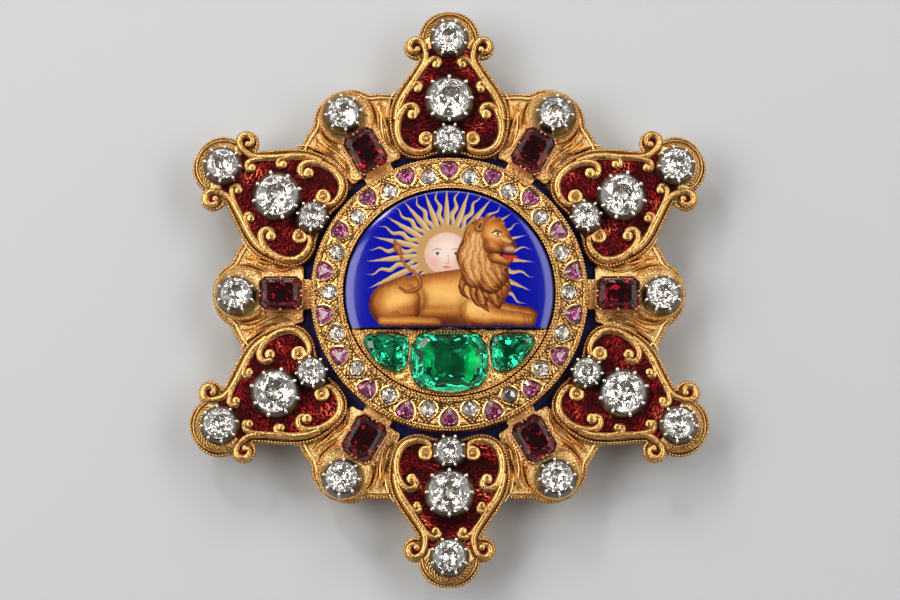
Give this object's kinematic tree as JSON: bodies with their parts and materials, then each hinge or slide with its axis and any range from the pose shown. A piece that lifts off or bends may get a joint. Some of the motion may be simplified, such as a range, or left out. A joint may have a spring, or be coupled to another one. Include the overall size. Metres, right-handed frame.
{
  "type": "order badge",
  "caption": "Six-armed jewelled gold order badge with red enamel cartouches and a round medallion that holds a painted enamel plaque above green stones.",
  "frame": {"origin": "middle of the back, on the plane that the hollow back's rim rests on", "axes": "+Z out of the face, +Y to the top of the plaque, +X to the right as it is looked at"},
  "size_m": [0.077, 0.0876, 0.0125],
  "materials": {
    "arm_gold": "warm yellow gold, engraved and polished on the ridges",
    "chased_gold": "chased yellow gold, matt grounds between polished flutes",
    "ring_gold": "granulated yellow gold with millegrain ridges",
    "back_gold": "plain polished gold",
    "silver": "oxidised silver, bright on the bead prongs",
    "rose_gold": "polished rose gold",
    "red_enamel": "translucent red enamel over engraved gold",
    "navy_enamel": "translucent dark blue enamel",
    "painted_enamel": "polished painted enamel on a cobalt ground",
    "diamond": "colourless cut stone",
    "garnet": "deep red cut stone",
    "emerald": "green cut stone",
    "pink_stone": "pink cut stone"
  },
  "bodies": {
    "root": {"back_tray": "back_gold", "back_pin": "back_gold", "star_plate": "chased_gold", "blue_ground": "navy_enamel", "medallion_ring": "ring_gold", "emerald_setting": "ring_gold", "enamel_plaque": "painted_enamel", "arm_collets": "silver", "tip_collets": "silver", "lobe_collets": "silver", "garnet_collets": "rose_gold", "ring_pinks": "pink_stone", "ring_whites": "diamond", "emerald_centre": "emerald", "emerald_left": "emerald", "emerald_right": "emerald", "arm_frame_1": "arm_gold", "arm_frame_2": "arm_gold", "arm_frame_3": "arm_gold", "arm_frame_4": "arm_gold", "arm_frame_5": "arm_gold", "arm_frame_6": "arm_gold", "arm_enamel_1": "red_enamel", "arm_enamel_2": "red_enamel", "arm_enamel_3": "red_enamel", "arm_enamel_4": "red_enamel", "arm_enamel_5": "red_enamel", "arm_enamel_6": "red_enamel", "arm_diamond_1": "diamond", "arm_diamond_2": "diamond", "arm_diamond_3": "diamond", "arm_diamond_4": "diamond", "arm_diamond_5": "diamond", "arm_diamond_6": "diamond", "inner_diamond_1": "diamond", "inner_diamond_2": "diamond", "inner_diamond_3": "diamond", "inner_diamond_4": "diamond", "inner_diamond_5": "diamond", "inner_diamond_6": "diamond", "tip_diamond_1": "diamond", "tip_diamond_2": "diamond", "tip_diamond_3": "diamond", "tip_diamond_4": "diamond", "tip_diamond_5": "diamond", "tip_diamond_6": "diamond", "lobe_diamond_1": "diamond", "lobe_diamond_2": "diamond", "lobe_diamond_3": "diamond", "lobe_diamond_4": "diamond", "lobe_diamond_5": "diamond", "lobe_diamond_6": "diamond", "garnet_1": "garnet", "garnet_2": "garnet", "garnet_3": "garnet", "garnet_4": "garnet", "garnet_5": "garnet", "garnet_6": "garnet"}
  },
  "joints": []
}
